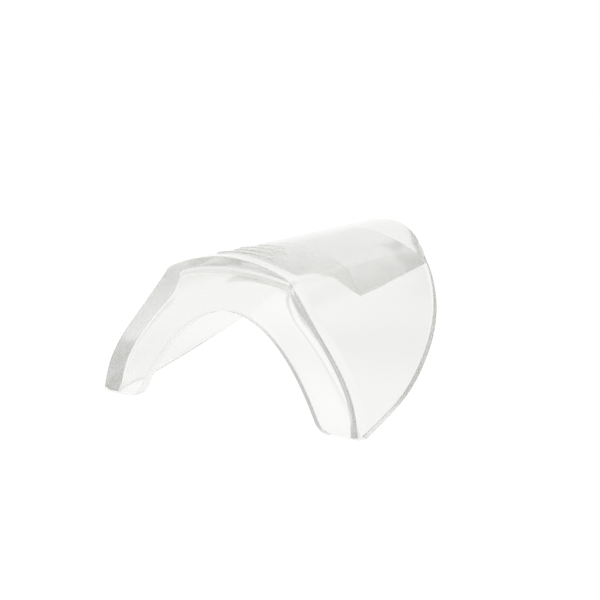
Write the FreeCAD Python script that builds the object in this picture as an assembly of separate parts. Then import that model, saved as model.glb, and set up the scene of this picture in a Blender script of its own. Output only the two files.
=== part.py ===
import FreeCAD, Part
import math
import os

# Clear one-piece cheek retractor, split into the regions a person would name.
# Frame: X across the mouth, Y from the front plate back into the cheek, Z up.
# The shape is drawn with its front face at Y = 0, then moved so that the origin
# is on the floor under the middle of the whole part.
# All lengths in millimetres.

# ---- front plate -------------------------------------------------------
PLATE_THICKNESS = 2.0
CORNER_HEIGHT = 24.3          # height of the top corners of the front plate
CORNER_HALF_WIDTH = 14.3      # half width at the top corners
# Half width of the plate at rising heights, foot to top corner: (height, half width)
SIDE_STATIONS = ((0.0, 30.0), (6.0, 28.5), (12.0, 24.7), (18.0, 19.5), (CORNER_HEIGHT, CORNER_HALF_WIDTH))
CORNER_ROUNDING = 1.3         # radius where the side runs into the crown

# ---- mouth arch cut in the front plate ----------------------------------
ARCH_HEIGHT = 17.8
ARCH_CROWN_RADIUS = 14.6      # radius of curvature at the top of the arch
ARCH_STRAIGHTENING = 0.195    # how quickly the legs of the arch straighten out
FOOT_ROUNDING = 2.0           # inner corner of each foot

# ---- hood ---------------------------------------------------------------
CROWN_RISE = 2.9              # crown above the corner line at the plate
CROWN_RISE_GROWTH = 0.03      # extra crown per millimetre of depth
CORNER_LINE_SLOPE = 0.095     # the corner lines climb towards the back
WIDTH_TAPER = 0.0029          # the hood narrows by this share per millimetre of depth
HOOD_LOFT_DEPTH = 48.0        # length of the untrimmed hood
ROOF_WALL = 1.6
WING_WALL = 2.2
RIM_WALL = 0.9                # wall at the trimmed back edge
ROOT_FILLET = 1.7             # inside corner between plate and hood
INSIDE_CORNER_ROUNDING = 3.0  # inside corner between wing and roof

# Side view of the back rim, foot to crown: (depth, height)
RIM_WING_STATIONS = ((2.5, 0.0), (8.0, 2.1), (15.6, 5.3), (23.7, 9.8), (30.9, 14.6),
                     (35.9, 19.4), (38.3, 24.2), (38.6, 27.6))
RIM_CROWN_STATIONS = ((38.6, 27.6), (40.4, 29.6), (42.4, 31.4), (44.4, 33.2), (46.4, 35.2))

# ---- wedge under the roof -------------------------------------------------
WEDGE_FRONT_DEPTH = 16.7
WEDGE_FRONT_HEIGHT = 20.6     # underside height at its front edge, at the side walls
WEDGE_BACK_DEPTH = 40.0
WEDGE_BACK_HEIGHT = 25.1      # underside height near the rim
WEDGE_ARCHING = 2.4           # the underside is arched across by this much

# ---- raised marking bars on the roof --------------------------------------
BAR_HEIGHT = 0.3
BAR_WIDTH = 0.9
BAR_PITCH = 2.3
BAR_FIRST_DEPTH = 4.2
BAR_LENGTHS = (13.0, 9.0, 11.0, 6.0)

SECTION_POINTS = 24           # points along each side of a hood section
CROWN_POINTS = 13             # points across the crown
FAR = 80.0                    # half size of cutting blocks
BELOW_FLOOR = -5.0            # untrimmed sections reach down to here
OVERRUN = 1.0                 # cutting blocks run past the part by this much
JOIN_GAP = 0.3                # section points closer than this to a corner are dropped
ARCH_POINTS = 16              # points along each leg of the arch
EPS = 0.001


def vec(x, y, z):
    return FreeCAD.Vector(x, y, z)


def spline_edge(points):
    curve = Part.BSplineCurve()
    curve.interpolate([vec(*p) for p in points])
    return curve.toShape()


def side_curve():
    """Half width against height on the front plate, as a smooth planar curve."""
    curve = Part.BSplineCurve()
    curve.interpolate([vec(width, 0, height) for height, width in SIDE_STATIONS])
    return curve


SIDE = side_curve()


def side_point(share):
    """Point on the side of the plate: share 0 at the foot, 1 at the top corner."""
    first = SIDE.FirstParameter
    last = SIDE.LastParameter
    point = SIDE.value(first + (last - first) * share)
    return point.x, point.z


def front_section():
    """Half of the hood section at the plate, foot to crown centre, as (x, z) pairs."""
    points = []
    for i in range(SECTION_POINTS + 1):
        points.append(side_point(i / SECTION_POINTS))
    for i in range(1, CROWN_POINTS + 1):
        share = i / CROWN_POINTS
        x = CORNER_HALF_WIDTH * (1 - share)
        z = CORNER_HEIGHT + CROWN_RISE * (1 - (1 - share) ** 2)
        points.append((x, z))
    return points


def crown_share(x, z):
    """How far above the corner line a front section point lies, as a share of the rise."""
    return max(0.0, (z - CORNER_HEIGHT) / CROWN_RISE)


def at_depth(x, z, y):
    """Carry a front section point back to depth y along the hood."""
    share = crown_share(x, z)
    base = min(z, CORNER_HEIGHT)
    new_x = x * (1 - WIDTH_TAPER * y)
    new_z = base * (1 + CORNER_LINE_SLOPE * y / CORNER_HEIGHT)
    new_z += share * (CROWN_RISE + CROWN_RISE_GROWTH * y)
    return new_x, new_z


def side_and_crown_edges(y, side_wall, roof_wall):
    """Right side edge and crown edge of the hood section at depth y, moved in by the walls."""
    half = []
    for x, z in front_section():
        half.append(at_depth(x, z, y))
    side = half[:SECTION_POINTS + 1]
    crown = half[SECTION_POINTS:]
    moved_side = []
    for i, (x, z) in enumerate(side):
        before = side[max(0, i - 1)]
        after = side[min(len(side) - 1, i + 1)]
        dx = after[0] - before[0]
        dz = after[1] - before[1]
        length = math.hypot(dx, dz)
        moved_side.append((x - side_wall * dz / length, z + side_wall * dx / length))
    moved_crown = []
    for i, (x, z) in enumerate(crown):
        before = crown[max(0, i - 1)]
        after = crown[min(len(crown) - 1, i + 1)]
        dx = after[0] - before[0]
        dz = after[1] - before[1]
        length = math.hypot(dx, dz)
        moved_crown.append((x + roof_wall * dz / length, z + roof_wall * dx / length))
    return moved_side, moved_crown


def crossing(side, crown):
    """Where the moved side line meets the moved crown line."""
    x1, z1 = side[-2]
    x2, z2 = side[-1]
    x3, z3 = crown[0]
    x4, z4 = crown[1]
    denominator = (x1 - x2) * (z3 - z4) - (z1 - z2) * (x3 - x4)
    first = x1 * z2 - z1 * x2
    second = x3 * z4 - z3 * x4
    x = (first * (x3 - x4) - (x1 - x2) * second) / denominator
    z = (first * (z3 - z4) - (z1 - z2) * second) / denominator
    return x, z


def hood_wire(y, side_wall, roof_wall, bottom):
    """Closed hood section at depth y: two sides, a crown and a flat bottom edge."""
    side, crown = side_and_crown_edges(y, side_wall, roof_wall)
    corner = crossing(side, crown)
    side = [p for p in side[:-1] if p[1] < corner[1] - JOIN_GAP] + [corner]
    crown = [corner] + [p for p in crown[1:] if p[0] < corner[0] - JOIN_GAP]
    foot_x, foot_z = side[0]
    right = [(x, y, z) for x, z in side]
    left = [(-x, y, z) for x, y, z in reversed(right)]
    over = [(x, y, z) for x, z in crown] + [(-x, y, z) for x, z in reversed(crown[:-1])]
    low_right = vec(foot_x, y, bottom)
    low_left = vec(-foot_x, y, bottom)
    edges = [spline_edge(right), spline_edge(over), spline_edge(left)]
    if abs(foot_z - bottom) > EPS:
        edges.append(Part.makeLine(vec(-foot_x, y, foot_z), low_left))
    edges.append(Part.makeLine(low_left, low_right))
    if abs(foot_z - bottom) > EPS:
        edges.append(Part.makeLine(low_right, vec(foot_x, y, foot_z)))
    return Part.Wire(edges)


def corner_edges(hood, y_front, y_back):
    """The two long edges of an untrimmed hood where the sides meet the crown."""
    found = []
    for edge in hood.Edges:
        box = edge.BoundBox
        long_edge = abs(box.YMin - y_front) < EPS and abs(box.YMax - y_back) < EPS
        if long_edge and box.ZMin > 0.8 * CORNER_HEIGHT:
            found.append(edge)
    return found


def outer_hood(proud=0.0):
    """Untrimmed solid hood, optionally standing proud of the real surface."""
    front = hood_wire(0.0, -proud, -proud, BELOW_FLOOR)
    back = hood_wire(HOOD_LOFT_DEPTH, -proud, -proud, BELOW_FLOOR)
    hood = Part.makeLoft([front, back], True, True)
    return hood.makeFillet(CORNER_ROUNDING, corner_edges(hood, 0.0, HOOD_LOFT_DEPTH))


def inner_hood():
    front = hood_wire(PLATE_THICKNESS, WING_WALL, ROOF_WALL, BELOW_FLOOR)
    back = hood_wire(HOOD_LOFT_DEPTH + OVERRUN, RIM_WALL, RIM_WALL, BELOW_FLOOR)
    return Part.makeLoft([front, back], True, True)


def filleted_cavity():
    """Hollow of the hood, rounded where it meets the back of the plate."""
    cavity = inner_hood()
    long_edges = corner_edges(cavity, PLATE_THICKNESS, HOOD_LOFT_DEPTH + OVERRUN)
    rounded = cavity.makeFillet(INSIDE_CORNER_ROUNDING, long_edges)
    edges = []
    for edge in rounded.Edges:
        box = edge.BoundBox
        at_plate = abs(box.YMin - PLATE_THICKNESS) < EPS and abs(box.YMax - PLATE_THICKNESS) < EPS
        if at_plate and box.ZMax > 0.0:
            edges.append(edge)
    return rounded.makeFillet(ROOT_FILLET, edges)


def rim_keep():
    """Everything above the floor and in front of the back rim, in side view."""
    wing = spline_edge([(-FAR, y, z) for y, z in RIM_WING_STATIONS])
    crown = spline_edge([(-FAR, y, z) for y, z in RIM_CROWN_STATIONS])
    foot = vec(-FAR, *RIM_WING_STATIONS[0])
    top = vec(-FAR, *RIM_CROWN_STATIONS[-1])
    top_front = vec(-FAR, -OVERRUN, top.z)
    low_front = vec(-FAR, -OVERRUN, 0.0)
    edges = [wing, crown]
    edges.append(Part.makeLine(top, top_front))
    edges.append(Part.makeLine(top_front, low_front))
    edges.append(Part.makeLine(low_front, foot))
    face = Part.Face(Part.Wire(edges))
    return face.extrude(vec(2 * FAR, 0, 0))


def slab(y_from, y_to):
    """Block spanning two depths, wider and taller than the part."""
    return Part.makeBox(2 * FAR, y_to - y_from, 2 * FAR, vec(-FAR, y_from, -FAR))


def arch_half_width(z):
    drop = max(0.0, ARCH_HEIGHT - z)
    return math.sqrt(2 * ARCH_CROWN_RADIUS * drop - ARCH_STRAIGHTENING * drop * drop)


def arch_opening():
    """The mouth arch as a block through the plate."""
    half = []
    for i in range(ARCH_POINTS + 1):
        z = ARCH_HEIGHT * math.sin(0.5 * math.pi * i / ARCH_POINTS)
        half.append((arch_half_width(z), z))
    right = [(x, -OVERRUN, z) for x, z in half]
    left = [(-x, -OVERRUN, z) for x, z in reversed(half[:-1])]
    over = spline_edge(right + left)
    foot_x = half[0][0]
    low_left = vec(-foot_x, -OVERRUN, -OVERRUN)
    low_right = vec(foot_x, -OVERRUN, -OVERRUN)
    edges = [over]
    edges.append(Part.makeLine(vec(-foot_x, -OVERRUN, 0.0), low_left))
    edges.append(Part.makeLine(low_left, low_right))
    edges.append(Part.makeLine(low_right, vec(foot_x, -OVERRUN, 0.0)))
    return Part.Face(Part.Wire(edges)).extrude(vec(0, PLATE_THICKNESS + 2 * OVERRUN, 0))


def crown_sector():
    """Block between the two corner lines of the hood, tapering with it."""
    wires = []
    for y in (-OVERRUN, HOOD_LOFT_DEPTH + 2 * OVERRUN):
        x = CORNER_HALF_WIDTH * (1 - WIDTH_TAPER * y)
        points = [vec(-x, y, -FAR), vec(x, y, -FAR), vec(x, y, FAR), vec(-x, y, FAR), vec(-x, y, -FAR)]
        wires.append(Part.makePolygon(points))
    return Part.makeLoft(wires, True, True)


def wedge_space():
    """Everything above the wedge's arched underside, behind its front face."""
    wires = []
    slope = (WEDGE_BACK_HEIGHT - WEDGE_FRONT_HEIGHT) / (WEDGE_BACK_DEPTH - WEDGE_FRONT_DEPTH)
    for y in (WEDGE_FRONT_DEPTH, HOOD_LOFT_DEPTH):
        z = WEDGE_FRONT_HEIGHT + slope * (y - WEDGE_FRONT_DEPTH)
        left = vec(-FAR, y, z)
        right = vec(FAR, y, z)
        near_left = vec(-CORNER_HALF_WIDTH, y, z)
        near_right = vec(CORNER_HALF_WIDTH, y, z)
        arch = Part.Arc(near_left, vec(0, y, z + WEDGE_ARCHING), near_right).toShape()
        edges = [Part.makeLine(left, near_left), arch, Part.makeLine(near_right, right)]
        edges.append(Part.makeLine(right, vec(FAR, y, FAR)))
        edges.append(Part.makeLine(vec(FAR, y, FAR), vec(-FAR, y, FAR)))
        edges.append(Part.makeLine(vec(-FAR, y, FAR), left))
        wires.append(Part.Wire(edges))
    return Part.makeLoft(wires, True, True)


def marking_bars(outer):
    """Raised plain bars on the roof, in the place of moulded lettering."""
    proud = outer_hood(BAR_HEIGHT)
    bars = []
    for i, length in enumerate(BAR_LENGTHS):
        y = BAR_FIRST_DEPTH + i * BAR_PITCH
        block = Part.makeBox(length, BAR_WIDTH, FAR, vec(-length / 2, y, CORNER_HEIGHT))
        bars.append(block.common(proud).cut(outer))
    return bars


def round_feet(plate):
    """Rounds the inner bottom corner of both feet."""
    edges = []
    for edge in plate.Edges:
        box = edge.BoundBox
        on_floor = box.ZMax < EPS
        across_plate = box.YMax - box.YMin > PLATE_THICKNESS - EPS
        inner = max(abs(box.XMin), abs(box.XMax)) < arch_half_width(0.0) + EPS
        if on_floor and across_plate and inner:
            edges.append(edge)
    return plate.makeFillet(FOOT_ROUNDING, edges)


def one_solid(shape):
    """The single largest solid of a cut, so that a stray sliver is never kept."""
    solids = sorted(shape.Solids, key=lambda s: s.Volume)
    return solids[-1]


def build():
    outer = outer_hood()
    keep = rim_keep()
    trimmed = outer.common(keep)
    cavity = filleted_cavity()
    shell = trimmed.cut(cavity)
    plate = trimmed.common(slab(-OVERRUN, PLATE_THICKNESS)).cut(arch_opening())
    hood = shell.common(slab(PLATE_THICKNESS, HOOD_LOFT_DEPTH))
    middle = crown_sector()
    nodes = {}
    nodes["front_plate"] = round_feet(one_solid(plate))
    nodes["roof"] = one_solid(hood.common(middle))
    wings = hood.cut(middle)
    for solid in wings.Solids:
        if solid.CenterOfMass.x > 0:
            nodes["right_wing"] = solid
        else:
            nodes["left_wing"] = solid
    wedge = trimmed.common(cavity).common(wedge_space())
    nodes["roof_wedge"] = one_solid(wedge)
    for i, bar in enumerate(marking_bars(outer)):
        nodes["marking_bar_%d" % (i + 1)] = one_solid(bar)
    centre_depth(nodes)
    return nodes


def centre_depth(nodes):
    """Moves every node so that the whole part is centred front to back."""
    back = nodes["roof"].optimalBoundingBox(False, False).YMax
    for shape in nodes.values():
        shape.translate(vec(0, -back / 2, 0))


def main():
    os.makedirs("parts", exist_ok=True)
    for name, shape in build().items():
        shape.exportStep("parts/%s.step" % name)
        box = shape.optimalBoundingBox(False, False)
        print(name, shape.isValid(), round(shape.Volume, 2), round(box.YMin, 3), round(box.YMax, 3))


main()
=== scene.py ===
import bmesh
import bpy
import math
import numpy as np
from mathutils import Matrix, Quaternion, Vector


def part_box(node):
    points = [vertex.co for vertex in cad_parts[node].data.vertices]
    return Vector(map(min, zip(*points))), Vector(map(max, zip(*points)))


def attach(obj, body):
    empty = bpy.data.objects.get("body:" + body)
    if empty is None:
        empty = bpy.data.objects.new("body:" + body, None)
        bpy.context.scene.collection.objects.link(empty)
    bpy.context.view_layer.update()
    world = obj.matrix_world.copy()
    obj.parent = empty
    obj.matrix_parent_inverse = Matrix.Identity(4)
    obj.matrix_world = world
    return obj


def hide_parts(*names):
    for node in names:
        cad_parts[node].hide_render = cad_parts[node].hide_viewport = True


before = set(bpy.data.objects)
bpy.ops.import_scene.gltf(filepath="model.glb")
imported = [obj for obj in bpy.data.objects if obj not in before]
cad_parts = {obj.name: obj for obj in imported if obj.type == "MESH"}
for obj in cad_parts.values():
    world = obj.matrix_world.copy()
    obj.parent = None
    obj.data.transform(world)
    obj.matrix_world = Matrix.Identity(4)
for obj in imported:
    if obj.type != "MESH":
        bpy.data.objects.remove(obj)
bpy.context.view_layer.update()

MM = 0.001

# ---- the moulding's sizes in millimetres, drawn with the front face at y = 0 ----
PLATE = 2.0                    # front plate thickness
CORNER_Z = 24.3                # top corner of the plate
CORNER_X = 14.3
STATION_Z = (0.0, 6.0, 12.0, 18.0, CORNER_Z)            # side of the plate
STATION_X = (30.0, 28.5, 24.7, 19.5, CORNER_X)
ARCH_Z = 17.8                  # top of the mouth arch
ARCH_RADIUS = 14.6             # radius there
ARCH_STRAIGHT = 0.195          # how much the arch's legs straighten below it
FOOT_EASE = 2.0                # inner corner of each foot
CROWN = 2.9                    # roof crown at the plate, and its growth per mm of depth
CROWN_GROWTH = 0.03
SLOPE = 0.095                  # climb of the corner lines per mm of depth
TAPER = 0.0029                 # narrowing per mm of depth
# the trimmed back edge, seen from the side, from the floor to the crown
RIM_Y = (2.5, 8.0, 15.6, 23.7, 30.9, 35.9, 38.3, 38.6, 40.4, 42.4, 44.4)
RIM_Z = (0.0, 2.1, 5.3, 9.8, 14.6, 19.4, 24.2, 27.6, 29.6, 31.4, 33.2)

# ---- walls, in millimetres ----
WING_WALL_Z = (0.0, 8.0, 15.0, 18.5, 20.3, 22.0, 23.5, CORNER_Z)
WING_WALL = (2.5, 2.2, 2.1, 2.5, 3.0, 2.8, 2.3, 1.7)    # wall at the plate, up the wing
ROOF_WALL = 1.1                # at the corner, and what the middle has more
ROOF_LENS = 1.1
RIM_WALL = 1.1                 # the walls thin to this over the run, measured from the plate
WALL_RUN = 42.0
WALL_FALL = 0.7                # below 1, the walls thin fastest near the plate
FILLET = 1.7                   # inside corner between the plate and the hood
WEDGE_Y = 16.7                 # front face of the wedge under the roof, and its lower edge there
WEDGE_Z = 20.6
WEDGE_BACK_Y = 40.0            # the lower edge at the back
WEDGE_BACK_Z = 25.1
WEDGE_ARCHING = 2.4            # rise of the wedge's underside in the middle
FOOT_RUN = 3.0                 # height over which the inner surface is drawn down to the floor

# ---- edges and corners, in millimetres ----
EDGE = 0.2                     # rounding of the plate's edges
RIM_EDGE = 0.3                 # rounding of the rim
OUTER_SOFTENING = 0.4          # softening of the hood's corner lines, outside and inside
INNER_SOFTENING = 0.75
WALL_SOFTENING = 0.8           # and of the change of wall from wing to roof
STEP_LOW = 0.3                 # rounding at the foot and head of the wedge's front face
STEP_HIGH = 0.6
STEP_SHARE = 0.3               # no rounding takes up more than this share of what it rounds
RIM_FULLEST = 0.45             # or this share of the rim's thickness
FULL_RUN = 6.0                 # hood this long behind the plate has the roundings at full size
LEAST_RUN = 0.3
FILLET_SHARE = 0.35            # on a shorter hood the fillet and the wedge's place take these shares
WEDGE_SHARE = 0.5
RIM_SLANT = 1.0                # the rim's inner edge is at most this far behind its outer edge

# ---- raised bars on the roof, in millimetres ----
BAR_HEIGHT = 0.3
BAR_WIDTH = 0.9
BAR_PITCH = 2.3
BAR_FIRST = 4.2                # the first bar's middle, behind the plate's front face
BAR_LENGTHS = (13.0, 9.0, 11.0, 6.0)
BAR_ROOT = 0.35                # how far a bar is sunk into the roof
BAR_SQUARENESS = 0.6           # below 1, a bar's section is squarer than a half circle
BAR_ROUNDNESS = 0.5
BAR_END = 0.98                 # share of a bar's round end that is drawn

# ---- how finely the mesh is drawn ----
COLUMNS = 225                  # sections from the left foot over the crown to the right foot
ARC = np.linspace(0, 1, 5)     # steps round a small moulded edge
THIRDS = (0.33, 0.67)          # steps across a narrow face
FACE_STEPS = 8                 # across the plate
OUTER_STEPS = 44               # along the hood outside
WEDGE_STEPS = 26               # along the wedge's underside
ROOF_STEPS = 16                # along the roof in front of the wedge
FILLET_STEPS = 9
SETTLING_ROUNDS = 30           # rounds that settle where each section meets the rim
SIDE_POINTS = 200              # along the curves before they are spaced evenly
CROWN_POINTS = 120
ARCH_POINTS = 160
EASE_POINTS = 24
RIM_POINTS = 600
BAR_END_POINTS = 9
BAR_MIDDLE_POINTS = 31
BAR_SECTION_POINTS = 13
BLUR_REACH = 2.5               # the blur that softens a line ends at this many of its widths
MERGE = 0.0005                 # mm; points nearer than this are one
SHARP = math.radians(50)       # edges sharper than this are shaded as edges

# ---- the clear plastic ----
BASE_COLOUR = (0.972, 0.975, 0.962, 1)
ABSORB_COLOUR = (0.9, 0.9, 0.89, 1)
ABSORB_DENSITY = 40.0          # per metre; times what the colour above lacks of white
SURFACE_ROUGHNESS = 0.13
INDEX = 1.5
FLOW_SCALE = 60.0              # slight unevenness of the moulded surface
FLOW_DETAIL = 2.0
FLOW_STRENGTH = 0.02
FLOW_DEPTH = 0.2 * MM
LIGHT_BOUNCES = 128            # light runs far along inside the walls

# ---- the stage; brightness 1 is white ----
FLOOR_REACH = 3.0              # half the floor's side, metres
FLOOR_COLOUR = (0.08, 0.08, 0.08, 1)
FLOOR_ROUGHNESS = 0.9
FRONT_FLOOR_PAINTED_FALLOFF = 0.72             # share left far in front of the object; painted falloff of the light
NEAR_FLOOR = 0.94              # under the object, just behind it and further behind it; the dip just behind is painted shadow of the object
MID_FLOOR_PAINTED_SHADOW = 0.88
BACK_FLOOR = 0.93
SIDE_PAINTED_SHADOW = 0.2                 # painted shadow: how much dimmer the floor is behind and to the right
ROOM_LEVEL = 0.84
BACKDROP_LEVEL = 1.0           # low behind the object
HIGH_BACKDROP = 0.04           # what the backdrop adds to the room higher up
CEILING_LEVEL = 1.0
FLAG_LEVEL = 0.66              # share left in the middle of the flag, up on the right

# ---- the camera ----
LENS = 104.04
SENSOR = 36.0
NEAREST = 0.01                 # metres
FURTHEST = 20
VIEW_AZIMUTH = math.radians(42.86)
VIEW_ELEVATION = math.radians(10.33)
VIEW_DISTANCE = 300.0          # mm, from the floor under the plate's front face
AIM_RIGHT = 12.67              # mm from there to the point in the middle of the view
AIM_UP = 20.17
ROLL = math.radians(2.26)
TOWARD_VIEWER = Vector((math.sin(VIEW_AZIMUTH), -math.cos(VIEW_AZIMUTH), 0))
VIEWERS_RIGHT = Vector((math.cos(VIEW_AZIMUTH), math.sin(VIEW_AZIMUTH), 0))
UPWARD = Vector((0, 0, 1))
FLAG_WAY = (-0.3 * TOWARD_VIEWER + 0.8 * VIEWERS_RIGHT + 0.52 * UPWARD).normalized()


def smooth_curve(xs, ys, x):
    """Natural cubic spline through the stations, evaluated at x."""
    xs = np.asarray(xs, float)
    ys = np.asarray(ys, float)
    n = len(xs)
    h = np.diff(xs)
    a = np.zeros((n, n))
    b = np.zeros(n)
    a[0, 0] = a[-1, -1] = 1.0
    for i in range(1, n - 1):
        a[i, i - 1] = h[i - 1]
        a[i, i] = 2 * (h[i - 1] + h[i])
        a[i, i + 1] = h[i]
        b[i] = 6 * ((ys[i + 1] - ys[i]) / h[i] - (ys[i] - ys[i - 1]) / h[i - 1])
    m = np.linalg.solve(a, b)
    x = np.clip(np.asarray(x, float), xs[0], xs[-1])
    k = np.clip(np.searchsorted(xs, x) - 1, 0, n - 2)
    t0 = xs[k + 1] - x
    t1 = x - xs[k]
    hk = h[k]
    return ((m[k] * t0 ** 3 + m[k + 1] * t1 ** 3) / (6 * hk)
            + (ys[k] / hk - m[k] * hk / 6) * t0 + (ys[k + 1] / hk - m[k + 1] * hk / 6) * t1)


def resample(points, count):
    """Points evenly spaced by length along a polyline."""
    points = np.asarray(points, float)
    step = np.r_[0, np.cumsum(np.linalg.norm(np.diff(points, axis=0), axis=1))]
    at = np.linspace(0, step[-1], count)
    return np.stack([np.interp(at, step, points[:, k]) for k in range(points.shape[1])], axis=1)


def softened(points, width, spacing):
    """Rounds the corners of an evenly spaced polyline, keeping its ends; width is the blur's, in mm."""
    reach = max(1, int(round(BLUR_REACH * width / spacing)))
    kernel = np.exp(-0.5 * (np.arange(-reach, reach + 1) * spacing / width) ** 2)
    kernel /= kernel.sum()
    before = 2 * points[0] - points[reach:0:-1]
    after = 2 * points[-1] - points[-2:-reach - 2:-1]
    padded = np.concatenate([before, points, after])
    columns = [np.convolve(padded[:, k], kernel, mode="valid") for k in range(points.shape[1])]
    return np.stack(columns, axis=1)


def front_outline(count):
    """Hood section at the plate from the left foot over the crown to the right foot, as (x, z)."""
    z = np.linspace(0, CORNER_Z, SIDE_POINTS)
    side = np.stack([smooth_curve(STATION_Z, STATION_X, z), z], axis=1)
    share = np.linspace(0, 1, CROWN_POINTS)[1:]
    crown = np.stack([CORNER_X * (1 - share), CORNER_Z + CROWN * (1 - (1 - share) ** 2)], axis=1)
    right = np.concatenate([side, crown])
    left = right[::-1][1:] * (-1, 1)
    return resample(np.concatenate([right, left])[::-1], count)


def to_depth(section, y):
    """Carries front section points (n, 2) back to the depths y (n,)."""
    x = section[:, 0]
    z = section[:, 1]
    above = np.clip((z - CORNER_Z) / CROWN, 0, None)
    low = np.minimum(z, CORNER_Z)
    new_x = x * (1 - TAPER * y)
    new_z = low * (1 + SLOPE * y / CORNER_Z) + above * (CROWN + CROWN_GROWTH * y)
    return np.stack([new_x, new_z], axis=1)


def outward(section):
    """Unit normals of a section polyline, pointing out of the hood."""
    tangent = np.gradient(section, axis=0)
    tangent /= np.linalg.norm(tangent, axis=1)[:, None]
    return np.stack([-tangent[:, 1], tangent[:, 0]], axis=1)


def arch_x(z):
    """Half width of the mouth arch at height z."""
    drop = np.clip(ARCH_Z - z, 0, None)
    return np.sqrt(np.clip(2 * ARCH_RADIUS * drop - ARCH_STRAIGHT * drop ** 2, 0, None))


def arch_line(count):
    """Edge of the mouth arch from the left foot to the right foot, with eased foot corners."""
    angle = np.linspace(0.5 * math.pi, 0, ARCH_POINTS)
    z = ARCH_Z * np.sin(angle)
    right = np.stack([arch_x(z), z], axis=1)
    foot = np.array([arch_x(0.0) + FOOT_EASE, 0.0])
    keep = right[right[:, 1] > FOOT_EASE]
    start = keep[-1]
    corner = np.array([arch_x(0.0), 0.0])
    t = np.linspace(0, 1, EASE_POINTS)[1:, None]
    ease = (1 - t) ** 2 * start + 2 * t * (1 - t) * corner + t ** 2 * foot
    right = np.concatenate([keep, ease])
    left = right[1:][::-1] * (-1, 1)
    return resample(np.concatenate([left, right]), count)


def rim_depth(z):
    """Depth of the rim at height z, on a smooth curve through the rim's stations."""
    knots = np.arange(len(RIM_Y), dtype=float)
    fine = np.linspace(0, knots[-1], RIM_POINTS)
    return np.interp(z, smooth_curve(knots, RIM_Z, fine), smooth_curve(knots, RIM_Y, fine))


def eased_edge(before, corner, after):
    """Points of a small rounded edge between two surfaces, as a list of (n, 3) arrays."""
    return [(1 - t) ** 2 * before + 2 * t * (1 - t) * corner + t ** 2 * after for t in ARC]


def lifted(section, y):
    """(n, 2) section points and their depths as (n, 3) points."""
    return np.stack([section[:, 0], np.broadcast_to(y, section.shape[:1]), section[:, 1]], axis=1)


class Hood:
    """Outer and inner surfaces of the hood, one value per column."""

    def __init__(self):
        outline = front_outline(COLUMNS)
        spacing = np.linalg.norm(np.diff(outline, axis=0), axis=1).mean()
        self.spacing = spacing
        self.front = softened(outline, OUTER_SOFTENING, spacing)
        self.arch = arch_line(COLUMNS)
        across = np.clip(np.abs(outline[:, 0]) / CORNER_X, 0, 1)
        on_wing = np.interp(outline[:, 1], WING_WALL_Z, WING_WALL)
        on_roof = ROOF_WALL + ROOF_LENS * (1 - across ** 2)
        wall = np.where(outline[:, 1] < CORNER_Z, on_wing, on_roof)
        self.first_wall = softened(wall[:, None], WALL_SOFTENING, spacing)[:, 0]
        self.rim_out = rim_depth(self.front[:, 1])
        for _ in range(SETTLING_ROUNDS):
            self.rim_out = rim_depth(to_depth(self.front, self.rim_out)[:, 1])
        self.rim_in = self.rim_out.copy()
        self.set_zones()
        for _ in range(SETTLING_ROUNDS):
            self.rim_in = rim_depth(self.inner(self.rim_in, np.zeros(COLUMNS), 1.0)[:, 2])
            self.rim_in = np.minimum(self.rim_in, self.rim_out + RIM_SLANT)
            self.set_zones()

    def set_zones(self):
        """Where the fillet and the wedge's front face are, in each column's length behind the plate."""
        run = np.maximum(self.rim_in - PLATE, LEAST_RUN)
        self.fillet = np.minimum(FILLET, FILLET_SHARE * run)
        self.step_y = np.minimum(WEDGE_Y, PLATE + WEDGE_SHARE * run)
        self.step_scale = np.minimum(1.0, run / FULL_RUN)

    def outer(self, y):
        """Outer surface at depths y."""
        return lifted(to_depth(self.front, y), y)

    def inner(self, y, fillet_extra, wedge_share):
        """Inner surface at depths y; wedge_share 0 is the bare roof, 1 the wedge's underside."""
        section = to_depth(self.front, y)
        share = np.clip((y - PLATE) / WALL_RUN, 0, 1) ** WALL_FALL
        wall = self.first_wall + (RIM_WALL - self.first_wall) * share
        inside = section - outward(section) * (wall + fillet_extra)[:, None]
        inside = softened(inside, INNER_SOFTENING, self.spacing)
        slope = (WEDGE_BACK_Z - WEDGE_Z) / (WEDGE_BACK_Y - WEDGE_Y)
        across = np.clip(np.abs(inside[:, 0]) / CORNER_X, 0, 1)
        under = WEDGE_Z + slope * (y - WEDGE_Y) + WEDGE_ARCHING * (1 - across ** 2)
        drop = np.clip(inside[:, 1] - under, 0, None)
        inside[:, 1] -= drop * wedge_share
        below = inside[0, 1]
        inside[:, 1] -= below * np.exp((below - inside[:, 1]) / FOOT_RUN)
        return lifted(inside, y)


def between(start, end, shares):
    """Steps from start to end at the given shares of the way."""
    return [start + (end - start) * t for t in shares]


def rim_ease(rim):
    """Depth that the rounding of a rim edge takes up."""
    return np.minimum(STEP_SHARE * (rim - PLATE), RIM_EDGE)


def rim_steps(hood, before, none):
    """Round the rim from the outer surface, whose last step is before, to the inner one."""
    outer = hood.outer(hood.rim_out)
    inner = hood.inner(hood.rim_in, none, 1.0)
    across = inner - outer
    width = np.linalg.norm(across, axis=1)[:, None]
    across /= width
    ease = np.minimum(RIM_EDGE, RIM_FULLEST * width)
    steps = eased_edge(before, outer, outer + across * ease)[1:]
    steps += [outer + across * (ease + (width - 2 * ease) * t) for t in THIRDS]
    after = hood.inner(hood.rim_in - rim_ease(hood.rim_in), none, 1.0)
    steps += eased_edge(inner - across * ease, inner, after)
    return steps


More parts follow.
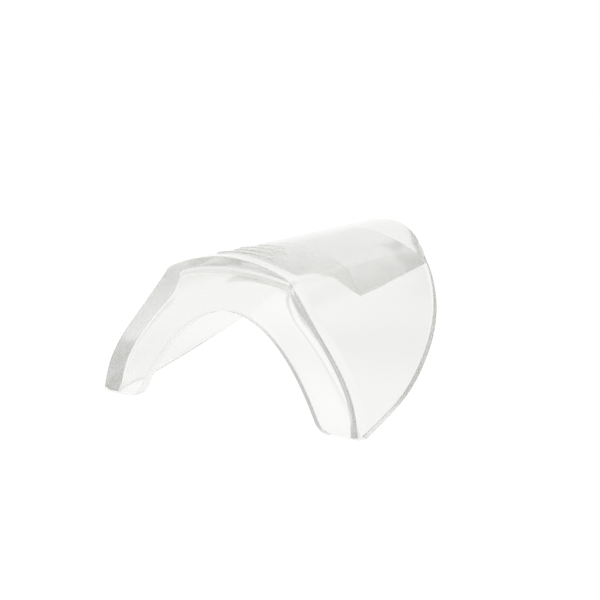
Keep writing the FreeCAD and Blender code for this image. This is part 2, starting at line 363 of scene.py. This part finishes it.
def wedge_steps(hood, none):
    """From the rim forward along the wedge's underside and up its front face to the roof."""
    after = hood.step_y + STEP_LOW * hood.step_scale
    before = hood.step_y - STEP_HIGH * hood.step_scale
    back = hood.rim_in - rim_ease(hood.rim_in)
    steps = [hood.inner(y, none, 1.0) for y in between(back, after, np.linspace(0, 1, WEDGE_STEPS)[1:])]
    low = hood.inner(hood.step_y, none, 1.0)
    high = hood.inner(hood.step_y, none, 0.0)
    drop = (high - low)[:, 2:3]
    low_ease = low + (0, 0, 1) * np.minimum(STEP_LOW, STEP_SHARE * drop)
    high_ease = high - (0, 0, 1) * np.minimum(STEP_HIGH, STEP_SHARE * drop)
    steps += eased_edge(steps[-1], low, low_ease)[1:]
    steps += between(low_ease, high_ease, THIRDS)
    steps += eased_edge(high_ease, high, hood.inner(before, none, 0.0))
    return steps


def roof_steps(hood, none):
    """From the wedge forward along the roof and down the fillet behind the plate."""
    before = hood.step_y - STEP_HIGH * hood.step_scale
    depths = between(before, PLATE + hood.fillet, np.linspace(0, 1, ROOF_STEPS)[1:])
    steps = [hood.inner(y, none, 0.0) for y in depths]
    for angle in np.linspace(0.5 * math.pi, 0, FILLET_STEPS)[1:]:
        y = PLATE + hood.fillet * (1 - math.cos(angle))
        steps.append(hood.inner(y, hood.fillet * (1 - math.sin(angle)), 0.0))
    return steps


def moulding_loops():
    """Closed loops round the moulding's wall, one array of column points per loop step."""
    hood = Hood()
    none = np.zeros(COLUMNS)
    outline = hood.outer(none)
    arch = lifted(hood.arch, 0.0)
    arch_back = lifted(hood.arch, PLATE)
    to_outline = outline - arch
    to_outline /= np.linalg.norm(to_outline, axis=1)[:, None]
    over_plate = np.linspace(0, 1, FACE_STEPS)[1:-1]
    # arch edge, front face and outline edge
    steps = eased_edge(arch + (0, EDGE, 0), arch, arch + to_outline * EDGE)
    end = outline - to_outline * EDGE
    steps += between(steps[-1], end, over_plate)
    steps += eased_edge(end, outline, hood.outer(none + EDGE))
    # outer surface back to the rim, and the inner one forward again
    depths = between(EDGE, hood.rim_out - rim_ease(hood.rim_out), np.linspace(0, 1, OUTER_STEPS)[1:])
    steps += [hood.outer(y) for y in depths]
    steps += rim_steps(hood, steps[-1], none)
    steps += wedge_steps(hood, none)
    steps += roof_steps(hood, none)
    # back face of the plate and the arch's back edge
    end = arch_back + to_outline * EDGE
    steps += between(steps[-1], end, over_plate)
    steps += eased_edge(end, arch_back, arch_back - (0, EDGE, 0))
    return np.array(steps)


def tube_faces(rings, count):
    """Faces that join rings of count points each, with both ends closed."""
    faces = []
    for r in range(rings - 1):
        for k in range(count):
            nk = (k + 1) % count
            faces.append((r * count + k, r * count + nk, (r + 1) * count + nk, (r + 1) * count + k))
    faces.append(tuple(range(count - 1, -1, -1)))
    last = (rings - 1) * count
    faces.append(tuple(range(last, last + count)))
    return faces


def closed_mesh(name, points, faces):
    """A mesh in metres from points in millimetres, its doubled points joined, facing outwards."""
    mesh = bpy.data.meshes.new(name)
    mesh.from_pydata((points * MM).tolist(), [], faces)
    shape = bmesh.new()
    shape.from_mesh(mesh)
    bmesh.ops.remove_doubles(shape, verts=shape.verts, dist=MERGE * MM)
    bmesh.ops.recalc_face_normals(shape, faces=shape.faces)
    shape.to_mesh(mesh)
    shape.free()
    return mesh


def moulding_mesh(front_y):
    """One closed mesh of the whole clear moulding, in the CAD frame."""
    steps = moulding_loops()
    points = steps.transpose(1, 0, 2).reshape(-1, 3)
    points[:, 1] += front_y
    return closed_mesh("clear_moulding", points, tube_faces(COLUMNS, len(steps)))


def roof_height(x, y):
    """Height of the roof's outer surface."""
    half = CORNER_X * (1 - TAPER * y)
    return CORNER_Z + SLOPE * y + (CROWN + CROWN_GROWTH * y) * (1 - (x / half) ** 2)


def bar_mesh(length, middle_y, front_y):
    """A round-ended raised bar that follows the crown, sunk a little into the roof."""
    radius = 0.5 * BAR_WIDTH
    straight = 0.5 * length - radius
    ends = np.sin(np.linspace(0, 0.5 * math.pi, BAR_END_POINTS)) * BAR_END * radius
    middle = np.linspace(-straight, straight, BAR_MIDDLE_POINTS)[1:-1]
    xs = np.r_[-straight - ends[::-1], middle, straight + ends]
    profile = np.linspace(0, math.pi, BAR_SECTION_POINTS)
    squared = -np.sign(np.cos(profile)) * np.abs(np.cos(profile)) ** BAR_SQUARENESS
    rows = []
    for x in xs:
        past = max(0.0, abs(x) - straight) / radius
        full = math.sqrt(1 - past ** 2)
        across = squared * radius * full
        rise = BAR_HEIGHT * (np.sin(profile) * full) ** BAR_ROUNDNESS
        across = np.r_[across[0], across, across[-1]]
        rise = np.r_[-BAR_ROOT, rise, -BAR_ROOT]
        y = middle_y + across
        rows.append(np.column_stack([np.full(len(y), x), y + front_y, roof_height(x, y) + rise]))
    return closed_mesh("marking_bar", np.concatenate(rows), tube_faces(len(rows), len(rows[0])))


def build_moulding():
    """The one clear piece, with the bars joined on."""
    front_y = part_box("front_plate")[0][1] / MM
    piece = bpy.data.objects.new("clear_moulding", moulding_mesh(front_y))
    bpy.context.scene.collection.objects.link(piece)
    bpy.context.view_layer.objects.active = piece
    piece.select_set(True)
    for i, length in enumerate(BAR_LENGTHS):
        bar = bpy.data.objects.new("bar", bar_mesh(length, BAR_FIRST + i * BAR_PITCH, front_y))
        bpy.context.scene.collection.objects.link(bar)
        join = piece.modifiers.new("bar", "BOOLEAN")
        join.operation = "UNION"
        join.solver = "EXACT"
        join.object = bar
        bpy.ops.object.modifier_apply(modifier=join.name)
        bpy.data.objects.remove(bar)
    piece.data.shade_smooth()
    piece.data.set_sharp_from_angle(angle=SHARP)
    return piece


def clear_plastic():
    """Clear injection-moulded plastic: smooth, a faint tint, a slightly uneven surface."""
    mat = bpy.data.materials.new("clear_plastic")
    mat.use_nodes = True
    nodes = mat.node_tree.nodes
    links = mat.node_tree.links
    shader = nodes["Principled BSDF"]
    shader.inputs["Base Color"].default_value = BASE_COLOUR
    shader.inputs["Transmission Weight"].default_value = 1.0
    shader.inputs["IOR"].default_value = INDEX
    shader.inputs["Roughness"].default_value = SURFACE_ROUGHNESS
    coords = nodes.new("ShaderNodeTexCoord")
    flow = nodes.new("ShaderNodeTexNoise")
    flow.inputs["Scale"].default_value = FLOW_SCALE
    flow.inputs["Detail"].default_value = FLOW_DETAIL
    links.new(coords.outputs["Object"], flow.inputs["Vector"])
    bump = nodes.new("ShaderNodeBump")
    bump.inputs["Strength"].default_value = FLOW_STRENGTH
    bump.inputs["Distance"].default_value = FLOW_DEPTH
    links.new(flow.outputs["Fac"], bump.inputs["Height"])
    links.new(bump.outputs["Normal"], shader.inputs["Normal"])
    depth = nodes.new("ShaderNodeVolumeAbsorption")
    depth.inputs["Color"].default_value = ABSORB_COLOUR
    depth.inputs["Density"].default_value = ABSORB_DENSITY
    links.new(depth.outputs["Volume"], nodes["Material Output"].inputs["Volume"])
    return mat


def level(tree, source, axis, start, end, first, last):
    """A brightness that runs from first to last while the source's share along axis goes start to end."""
    share = tree.nodes.new("ShaderNodeVectorMath")
    share.operation = "DOT_PRODUCT"
    share.inputs[1].default_value = axis
    tree.links.new(source, share.inputs[0])
    ramp = tree.nodes.new("ShaderNodeMapRange")
    ramp.interpolation_type = "SMOOTHSTEP"
    ramp.inputs["From Min"].default_value = start
    ramp.inputs["From Max"].default_value = end
    ramp.inputs["To Min"].default_value = first
    ramp.inputs["To Max"].default_value = last
    tree.links.new(share.outputs["Value"], ramp.inputs["Value"])
    return ramp.outputs["Result"]


def combine(tree, operation, one, other):
    """The sum, difference, product or larger of two brightnesses, as operation says."""
    node = tree.nodes.new("ShaderNodeMath")
    node.operation = operation
    tree.links.new(one, node.inputs[0])
    tree.links.new(other, node.inputs[1])
    return node.outputs["Value"]


def floor_material():
    """Glowing white floor with painted shade: a little dimmer far ahead of the object and behind its right
    side, and painted shadow just behind it.
    """
    mat = bpy.data.materials.new("floor_white_painted_shade")
    mat.use_nodes = True
    tree = mat.node_tree
    shader = tree.nodes["Principled BSDF"]
    shader.inputs["Base Color"].default_value = FLOOR_COLOUR
    shader.inputs["Roughness"].default_value = FLOOR_ROUGHNESS
    shader.inputs["Specular IOR Level"].default_value = 0.0
    shader.inputs["Emission Color"].default_value = (1, 1, 1, 1)
    place = tree.nodes.new("ShaderNodeTexCoord").outputs["Object"]
    # painted falloff of the light far ahead of the object
    ahead = level(tree, place, TOWARD_VIEWER, 0.2, 0.6, 1.0, FRONT_FLOOR_PAINTED_FALLOFF)
    # painted shadow of the object on the floor just behind it
    under = level(tree, place, -TOWARD_VIEWER, 0.0, 0.07, NEAR_FLOOR, MID_FLOOR_PAINTED_SHADOW)
    behind = level(tree, place, -TOWARD_VIEWER, 0.08, 0.15, 0.0, BACK_FLOOR - MID_FLOOR_PAINTED_SHADOW)
    # painted shadow on the floor behind the object's right side
    side = level(tree, place, VIEWERS_RIGHT, 0.025, 0.055, 0.0, SIDE_PAINTED_SHADOW)
    deep = level(tree, place, -TOWARD_VIEWER, 0.14, 0.22, 0.0, 1.0)
    light = combine(tree, "MULTIPLY", ahead, combine(tree, "ADD", under, behind))
    light = combine(tree, "SUBTRACT", light, combine(tree, "MULTIPLY", side, deep))
    # the camera sees the floor evenly white; light passing through the object sees the painted shade
    seen = tree.nodes.new("ShaderNodeLightPath").outputs["Is Camera Ray"]
    tree.links.new(combine(tree, "MAXIMUM", light, seen), shader.inputs["Emission Strength"])
    return mat


def build_floor():
    """The white floor, its glow dimmed in places by painted shade."""
    mesh = bpy.data.meshes.new("floor")
    far = FLOOR_REACH
    corners = [(-far, -far, 0), (far, -far, 0), (far, far, 0), (-far, far, 0)]
    mesh.from_pydata(corners, [], [(0, 1, 2, 3)])
    mesh.materials.append(floor_material())
    floor = bpy.data.objects.new("floor", mesh)
    bpy.context.scene.collection.objects.link(floor)


def build_surround():
    """Soft light from all round, brightest low behind the object and overhead, dimmest up on the right."""
    world = bpy.data.worlds.new("studio")
    bpy.context.scene.world = world
    world.use_nodes = True
    tree = world.node_tree
    way = tree.nodes.new("ShaderNodeTexCoord").outputs["Generated"]
    behind = level(tree, way, TOWARD_VIEWER, -0.8, -0.2, 1.0, 0.0)
    low = level(tree, way, UPWARD, 0.15, 0.5, BACKDROP_LEVEL - ROOM_LEVEL, HIGH_BACKDROP)
    ceiling = level(tree, way, UPWARD, 0.6, 0.95, ROOM_LEVEL, CEILING_LEVEL)
    flag = level(tree, way, FLAG_WAY, 0.75, 0.98, 1.0, FLAG_LEVEL)
    light = combine(tree, "ADD", combine(tree, "MULTIPLY", behind, low), ceiling)
    light = combine(tree, "MULTIPLY", light, flag)
    seen = tree.nodes.new("ShaderNodeLightPath").outputs["Is Camera Ray"]
    tree.links.new(combine(tree, "MAXIMUM", light, seen), tree.nodes["Background"].inputs["Color"])


def build_camera(front_y):
    """Long lens, aimed from the floor point under the plate's front face."""
    back = TOWARD_VIEWER * math.cos(VIEW_ELEVATION) + UPWARD * math.sin(VIEW_ELEVATION)
    origin = Vector((0, front_y * MM, 0))
    target = origin + (VIEWERS_RIGHT * AIM_RIGHT + back.cross(VIEWERS_RIGHT) * AIM_UP) * MM
    data = bpy.data.cameras.new("camera")
    data.lens = LENS
    data.sensor_width = SENSOR
    data.clip_start = NEAREST
    data.clip_end = FURTHEST
    camera = bpy.data.objects.new("camera", data)
    bpy.context.scene.collection.objects.link(camera)
    camera.location = origin + back * VIEW_DISTANCE * MM
    aim = (target - camera.location).to_track_quat("-Z", "Y")
    camera.rotation_mode = "QUATERNION"
    camera.rotation_quaternion = aim @ Quaternion((0, 0, 1), ROLL)
    bpy.context.scene.camera = camera


piece = build_moulding()
piece.data.materials.clear()
piece.data.materials.append(clear_plastic())
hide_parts("front_plate", "roof", "left_wing", "right_wing", "roof_wedge",
            "marking_bar_1", "marking_bar_2", "marking_bar_3", "marking_bar_4")
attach(piece, "root")

build_floor()
build_surround()
build_camera(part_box("front_plate")[0][1] / MM)
scene = bpy.context.scene
scene.view_settings.view_transform = "Standard"
scene.cycles.max_bounces = LIGHT_BOUNCES
scene.cycles.transmission_bounces = LIGHT_BOUNCES
scene.cycles.glossy_bounces = LIGHT_BOUNCES
